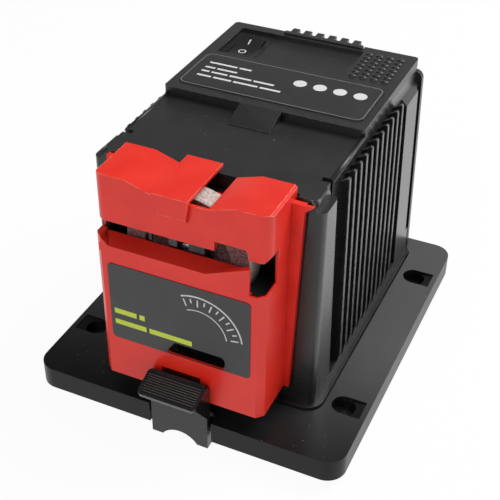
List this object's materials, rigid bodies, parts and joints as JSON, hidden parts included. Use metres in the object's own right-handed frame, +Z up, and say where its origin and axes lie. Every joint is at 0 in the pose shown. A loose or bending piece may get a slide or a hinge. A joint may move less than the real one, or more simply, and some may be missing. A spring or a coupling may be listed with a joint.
{
  "type": "electric tool sharpener",
  "caption": "Bench sharpener: ribbed motor housing on a screw-down plate, grinding wheel on the motor shaft, lift-off knife and scissor guide, rocker switch and thumb latch.",
  "frame": {"origin": "bottom centre of the whole object, on the ground under the rubber feet", "axes": "+X right as seen from the guide's side, +Y to the rear cover, +Z up"},
  "size_m": [0.15, 0.1835, 0.128],
  "materials": {
    "black_plastic": "fine-grained moulded black plastic",
    "black_switch": "semi-gloss black plastic",
    "red_plastic": "satin red moulded plastic",
    "rubber": "matt",
    "steel": "plated",
    "lamination": "stacked sheet",
    "zinc": "die cast",
    "copper": "enamelled copper",
    "bronze": "sintered",
    "nylon": "natural nylon",
    "label": "printed film",
    "abrasive": "vitrified grit"
  },
  "bodies": {
    "base": {"base_plate": "black_plastic", "rubber_feet": "rubber", "base_screws": "steel", "housing": "black_plastic", "control_panel": "black_plastic", "rating_label": "label", "rear_cover": "black_plastic", "cover_screws": "steel", "cord_grommet": "rubber", "switch_body": "black_switch", "switch_terminals": "steel", "stator_core": "lamination", "coil_bobbin": "nylon", "coil_winding": "copper", "shading_rings": "copper", "front_bearing_bridge": "zinc", "rear_bearing_bridge": "zinc", "front_bush": "bronze", "rear_bush": "bronze", "motor_bolts": "steel", "motor_mounts": "steel", "latch_pin": "steel", "latch_spring": "steel"},
    "rotor": {"rotor_core": "lamination", "motor_shaft": "steel", "cooling_fan": "nylon", "wheel_hub": "steel", "grinding_wheel": "abrasive", "wheel_washer": "steel", "wheel_screw": "steel"},
    "rocker": {"switch_rocker": "black_switch"},
    "guide": {"guide_body": "red_plastic", "guide_cap": "red_plastic", "scissor_plate": "red_plastic", "blade_springs": "steel", "guide_screws": "steel", "guide_label": "label"},
    "latch": {"latch_lever": "black_plastic"}
  },
  "joints": [
    {"name": "wheel_spin", "type": "hinge", "parent": "base", "child": "rotor", "pos_m": [0, 0, 0.0945], "axis": [0, 1, 0], "continuous": true},
    {"name": "rocker_tilt", "type": "hinge", "parent": "base", "child": "rocker", "pos_m": [-0.0325, 0.05925, 0.1217], "axis": [-1, 0, 0], "range_deg": [0, 18]},
    {"name": "guide_lift", "type": "slide", "parent": "base", "child": "guide", "axis": [0, 0, 1], "range_m": [0, 0.1]},
    {"name": "latch_tilt", "type": "hinge", "parent": "base", "child": "latch", "pos_m": [0, -0.07635, 0.0105], "axis": [1, 0, 0], "range_deg": [0, 12], "stiffness_Nm_per_rad": 0.2, "springref_deg": -5.73, "deforming": ["latch_spring"]}
  ]
}
